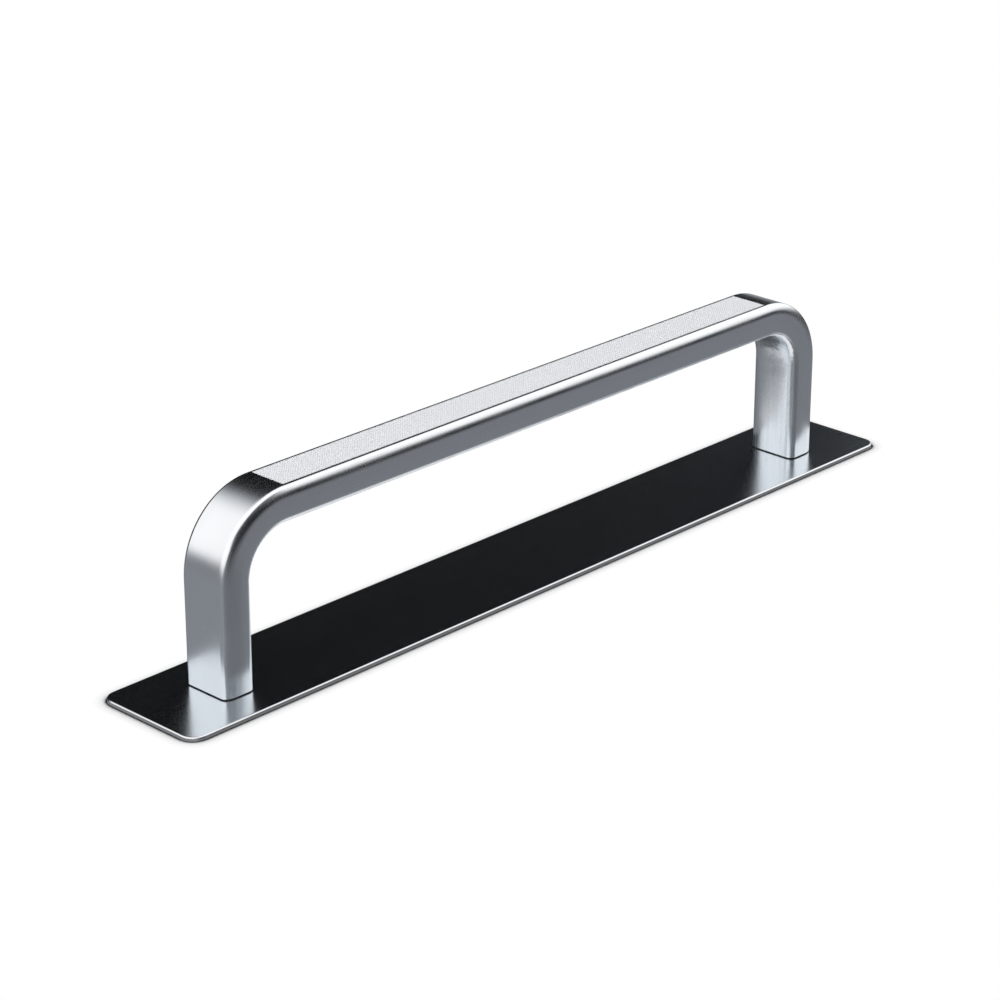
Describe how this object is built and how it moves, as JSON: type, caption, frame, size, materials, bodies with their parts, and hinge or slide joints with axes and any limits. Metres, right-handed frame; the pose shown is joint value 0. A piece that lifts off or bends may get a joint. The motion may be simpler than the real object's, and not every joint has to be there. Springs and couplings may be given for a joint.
{
  "type": "cabinet handle",
  "caption": "Arched bar cabinet handle with soft shoulders and a knurled grip, standing on a thin rectangular backplate with rounded corners.",
  "frame": {"origin": "middle of the backplate's underside, the face that lies against the door", "axes": "+X along the grip, +Y across it, +Z away from the door"},
  "size_m": [0.195, 0.025, 0.0375],
  "materials": {
    "handle_metal": "satin plated, knurled on the grip",
    "plate_metal": "polished plate, lightly brushed"
  },
  "bodies": {
    "root": {"handle": "handle_metal", "backplate": "plate_metal"}
  },
  "joints": []
}
